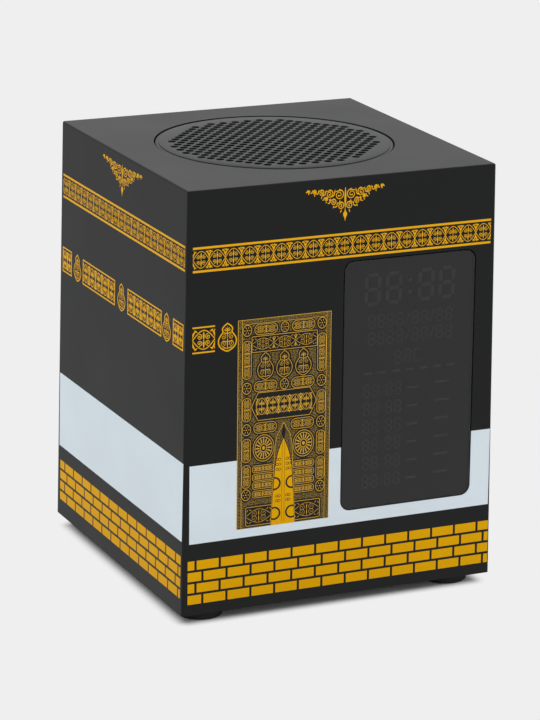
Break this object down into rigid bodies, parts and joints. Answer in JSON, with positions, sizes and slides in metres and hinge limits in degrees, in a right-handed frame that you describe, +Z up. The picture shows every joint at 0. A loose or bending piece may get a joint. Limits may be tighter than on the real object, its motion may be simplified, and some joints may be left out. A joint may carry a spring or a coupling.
{
  "type": "azan clock lamp",
  "caption": "Square black clock with an LED panel behind tinted acrylic, a round speaker grille in its top, sprung keys and a charging socket in its back, and rubber feet.",
  "frame": {"origin": "on the table, under the middle of the case, level with the undersides of the feet", "axes": "+Z up, the display faces -Y, +X to the right seen from the front"},
  "size_m": [0.114, 0.114, 0.147],
  "materials": {
    "case": "black ABS moulding with a fine matt spark finish and a two-colour print",
    "grille": "black ABS, moulded with its holes, matt",
    "cloth": "black acoustic cloth",
    "foam": "closed-cell foam gasket",
    "basket": "pressed steel, black paint",
    "foot_rubber": "black rubber, matt",
    "cone_paper": "coated paper pulp",
    "coil": "enamelled copper wire on a former",
    "zinc_steel": "zinc-plated steel",
    "ferrite": "sintered ferrite, dark grey",
    "lens": "smoke-tinted acrylic, polished",
    "adhesive": "black double-sided tape",
    "diffuser": "milky polycarbonate film",
    "reflector": "grey moulded reflector",
    "circuit_board": "glass-epoxy board with green mask",
    "panel": "black ABS, satin",
    "keys": "black ABS keys, satin",
    "switch": "black moulded plastic",
    "nickel": "nickel-plated steel shell",
    "cell_wrap": "heat-shrink wrap",
    "wire": "PVC sleeve",
    "ribbon": "flat flexible cable"
  },
  "bodies": {
    "case": {"battery_cell": "cell_wrap", "battery_holder": "switch", "battery_lead": "wire", "board_screw_1": "zinc_steel", "board_screw_2": "zinc_steel", "bottom_plate": "case", "bottom_screw_1": "zinc_steel", "bottom_screw_2": "zinc_steel", "bottom_screw_3": "zinc_steel", "bottom_screw_4": "zinc_steel", "charging_socket": "nickel", "display_board": "circuit_board", "display_diffuser": "diffuser", "display_lens": "lens", "display_ribbon": "ribbon", "display_screw_1": "zinc_steel", "display_screw_2": "zinc_steel", "display_screw_3": "zinc_steel", "display_screw_4": "zinc_steel", "foot_front_left": "foot_rubber", "foot_front_right": "foot_rubber", "foot_rear_left": "foot_rubber", "foot_rear_right": "foot_rubber", "grille_cloth": "cloth", "key_switch_next": "switch", "key_switch_play_mode": "switch", "key_switch_previous": "switch", "key_switch_volume_down": "switch", "key_switch_volume_up": "switch", "led_reflector": "reflector", "lens_adhesive": "adhesive", "magnet_front_plate": "zinc_steel", "magnet_yoke": "zinc_steel", "main_board": "circuit_board", "outer_shell": "case", "power_switch_body": "nickel", "rear_panel": "panel", "rear_panel_screw_1": "zinc_steel", "rear_panel_screw_2": "zinc_steel", "sound_chip": "switch", "speaker_basket": "basket", "speaker_gasket": "foam", "speaker_grille": "grille", "speaker_lead": "wire", "speaker_magnet": "ferrite", "speaker_screw_1": "zinc_steel", "speaker_screw_2": "zinc_steel", "speaker_screw_3": "zinc_steel", "speaker_screw_4": "zinc_steel", "speaker_surround": "foot_rubber"},
    "key_volume_down": {"key_volume_down": "keys"},
    "key_previous": {"key_previous": "keys"},
    "key_play_mode": {"key_play_mode": "keys"},
    "key_next": {"key_next": "keys"},
    "key_volume_up": {"key_volume_up": "keys"},
    "power_switch": {"power_switch_knob": "switch"},
    "speaker_cone": {"speaker_cone": "cone_paper", "speaker_dust_cap": "cone_paper", "voice_coil": "coil"}
  },
  "joints": [
    {"name": "key_volume_down_press", "type": "slide", "parent": "case", "child": "key_volume_down", "axis": [0, -0.9999, -0.0115], "range_m": [0, 0.0006], "stiffness_N_per_m": 600},
    {"name": "key_previous_press", "type": "slide", "parent": "case", "child": "key_previous", "axis": [0, -0.9999, -0.0115], "range_m": [0, 0.0006], "stiffness_N_per_m": 600},
    {"name": "key_play_mode_press", "type": "slide", "parent": "case", "child": "key_play_mode", "axis": [0, -0.9999, -0.0115], "range_m": [0, 0.0006], "stiffness_N_per_m": 600},
    {"name": "key_next_press", "type": "slide", "parent": "case", "child": "key_next", "axis": [0, -0.9999, -0.0115], "range_m": [0, 0.0006], "stiffness_N_per_m": 600},
    {"name": "key_volume_up_press", "type": "slide", "parent": "case", "child": "key_volume_up", "axis": [0, -0.9999, -0.0115], "range_m": [0, 0.0006], "stiffness_N_per_m": 600},
    {"name": "power_switch_slide", "type": "slide", "parent": "case", "child": "power_switch", "axis": [-1, 0, 0], "range_m": [0, 0.003]},
    {"name": "speaker_cone_travel", "type": "slide", "parent": "case", "child": "speaker_cone", "axis": [0, 0, 1], "range_m": [-0.001, 0.001], "stiffness_N_per_m": 1500}
  ]
}
